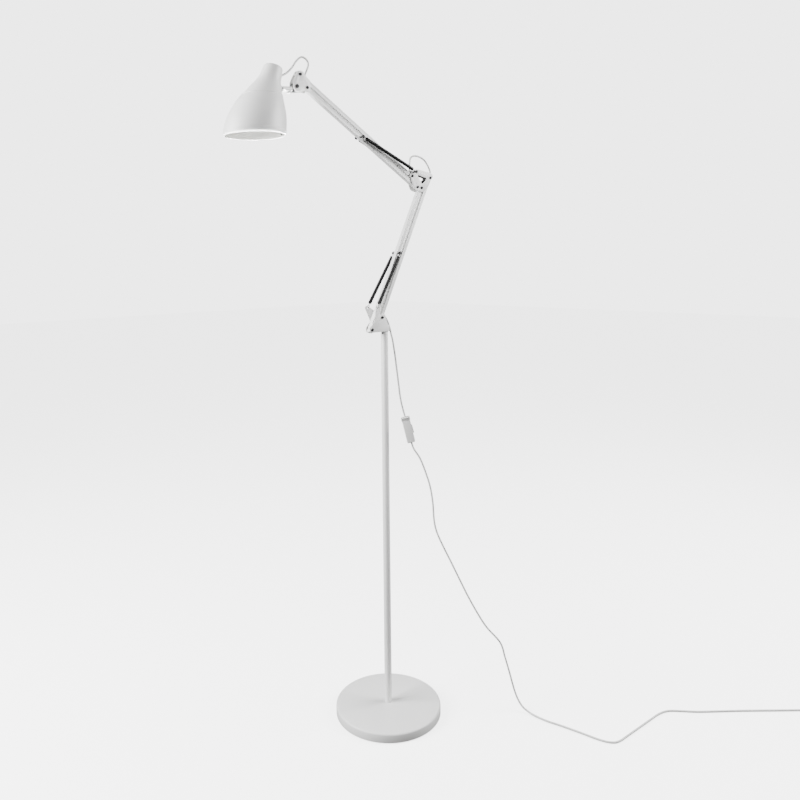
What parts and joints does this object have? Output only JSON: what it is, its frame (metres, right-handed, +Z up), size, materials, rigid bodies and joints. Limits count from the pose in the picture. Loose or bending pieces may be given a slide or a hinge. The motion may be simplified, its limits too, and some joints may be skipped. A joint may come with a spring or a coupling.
{
  "type": "adjustable arm floor lamp",
  "caption": "Spring-balanced two-arm reading lamp on a tall thin pole with a heavy round base, an oblique bell shade, and a mains cord with an inline switch.",
  "frame": {"origin": "centre of the round base on its underside, at floor level", "axes": "+Z up along the pole; -X from the pole towards the lamp's head; the arms fold in the XZ plane"},
  "size_m": [1.3352, 0.9967, 1.6885],
  "materials": {
    "white_paint": "satin",
    "cast_weight": "rough",
    "black_rubber": "matte",
    "zinc_steel": "satin",
    "dark_steel": "satin",
    "black_spring": "gloss",
    "black_plastic": "matte",
    "nylon": "matte",
    "white_plastic": "gloss",
    "cord_sheath": "satin",
    "contact_brass": "polished",
    "pin_nickel": "polished",
    "grey_plastic": "satin"
  },
  "bodies": {
    "stand": {"base_cover": "white_paint", "base_weight": "cast_weight", "base_pad": "black_rubber", "base_bolt": "zinc_steel", "pole": "white_paint", "pole_plug": "zinc_steel", "pole_bush": "black_plastic", "pole_screw": "dark_steel", "cord_hang": "cord_sheath", "cord_floor": "cord_sheath", "switch_front": "white_plastic", "switch_back": "white_plastic", "switch_screws": "dark_steel", "plug_body": "white_plastic", "plug_pins": "pin_nickel", "plug_relief": "white_plastic"},
    "rocker": {"switch_rocker": "grey_plastic"},
    "turret": {"spindle": "white_paint", "lower_bracket": "white_paint", "bracket_screws": "dark_steel", "lower_pivots": "dark_steel", "lower_washers": "nylon"},
    "lower_front": {"lower_front_tube": "white_paint", "lower_spring_pin": "black_spring"},
    "lower_rear": {"lower_rear_tube": "white_paint", "rear_grommet": "black_rubber", "cord_in_rear": "cord_sheath", "cord_top": "cord_sheath"},
    "lower_spring_pair": {"lower_springs": "black_spring"},
    "elbow": {"elbow_plate_near": "white_paint", "elbow_plate_far": "white_paint", "elbow_spacer": "black_plastic", "elbow_pivots": "dark_steel", "elbow_washers": "nylon", "spring_anchor": "black_spring", "cord_elbow": "cord_sheath"},
    "upper_lower": {"upper_lower_tube": "white_paint", "upper_spring_pin": "black_spring"},
    "upper_top": {"upper_top_tube": "white_paint", "top_grommets": "black_rubber", "cord_in_top": "cord_sheath"},
    "upper_spring_pair": {"upper_springs": "black_spring"},
    "upper_spring_ends": {"upper_spring_tails": "black_spring"},
    "head_bracket": {"head_plate_near": "white_paint", "head_plate_far": "white_paint", "head_pivots": "dark_steel", "head_washers": "nylon", "tilt_bolt": "dark_steel", "cord_head": "cord_sheath"},
    "knuckle": {"knuckle": "black_plastic"},
    "shade": {"stem": "white_paint", "stem_screws": "dark_steel", "lock_screw": "white_paint", "shade_cap": "white_paint", "shade_bell": "white_paint", "shade_tab": "dark_steel", "shade_grommet": "white_plastic", "lamp_holder": "black_plastic", "holder_ring": "black_plastic", "holder_contact": "contact_brass"}
  },
  "joints": [
    {"name": "arm_swivel", "type": "hinge", "parent": "stand", "child": "turret", "pos_m": [0, 0, 1.0075], "axis": [0, 0, 1], "range_deg": [-170, 170]},
    {"name": "lower_arm", "type": "hinge", "parent": "turret", "child": "lower_front", "pos_m": [-0.052, 0, 1.015], "axis": [0, 1, 0], "range_deg": [-48, 9]},
    {"name": "lower_rear_link", "type": "hinge", "parent": "turret", "child": "lower_rear", "pos_m": [-0.015, 0, 1.045], "axis": [0, 1, 0], "range_deg": [-48, 9], "deforming": ["cord_top"]},
    {"name": "elbow_level", "type": "hinge", "parent": "lower_front", "child": "elbow", "pos_m": [0.14522, 0, 1.39711], "axis": [0, 1, 0], "range_deg": [-9, 48]},
    {"name": "lower_spring_follow", "type": "hinge", "parent": "lower_front", "child": "lower_spring_pair", "pos_m": [0.0512, 0, 1.21494], "axis": [0, 1, 0], "range_deg": [-15, 3], "deforming": ["lower_springs"]},
    {"name": "upper_arm", "type": "hinge", "parent": "elbow", "child": "upper_top", "pos_m": [0.10772, 0, 1.42711], "axis": [0, 1, 0], "range_deg": [-65, 6], "deforming": ["cord_elbow"]},
    {"name": "upper_lower_link", "type": "hinge", "parent": "elbow", "child": "upper_lower", "pos_m": [0.12872, 0, 1.3981], "axis": [0, 1, 0], "range_deg": [-65, 6]},
    {"name": "head_level", "type": "hinge", "parent": "upper_top", "child": "head_bracket", "pos_m": [-0.28224, 0, 1.64149], "axis": [0, 1, 0], "range_deg": [-6, 65]},
    {"name": "upper_spring_follow", "type": "hinge", "parent": "upper_lower", "child": "upper_spring_pair", "pos_m": [-0.08159, 0, 1.51373], "axis": [0, 1, 0], "range_deg": [-4, 4], "deforming": ["upper_springs"]},
    {"name": "upper_spring_stretch", "type": "slide", "parent": "upper_spring_pair", "child": "upper_spring_ends", "axis": [0.935, 0, -0.3545], "range_m": [-0.006, 0.05], "deforming": ["upper_spring_tails"]},
    {"name": "head_tilt", "type": "hinge", "parent": "head_bracket", "child": "knuckle", "pos_m": [-0.29274, 0, 1.61109], "axis": [0, 1, 0], "range_deg": [-55, 40], "deforming": ["cord_head"]},
    {"name": "shade_swivel", "type": "hinge", "parent": "knuckle", "child": "shade", "pos_m": [-0.30304, 0, 1.60399], "axis": [-0.9903, 0, -0.1392], "range_deg": [-50, 50]},
    {"name": "switch_press", "type": "hinge", "parent": "stand", "child": "rocker", "pos_m": [0.05025, -0.04852, 0.7477], "axis": [0.6947, 0.7193, 0], "range_deg": [0, 6]}
  ],
  "couplings": [
    {"joint": "lower_rear_link", "follows": "lower_arm", "ratio": 1},
    {"joint": "elbow_level", "follows": "lower_arm", "ratio": -1},
    {"joint": "lower_spring_follow", "follows": "lower_arm", "ratio": 0.31},
    {"joint": "upper_lower_link", "follows": "upper_arm", "ratio": 1},
    {"joint": "head_level", "follows": "upper_arm", "ratio": -1},
    {"joint": "upper_spring_follow", "follows": "upper_arm", "ratio": 0.045},
    {"joint": "upper_spring_stretch", "follows": "upper_arm", "m_per_rad": -0.0403}
  ]
}
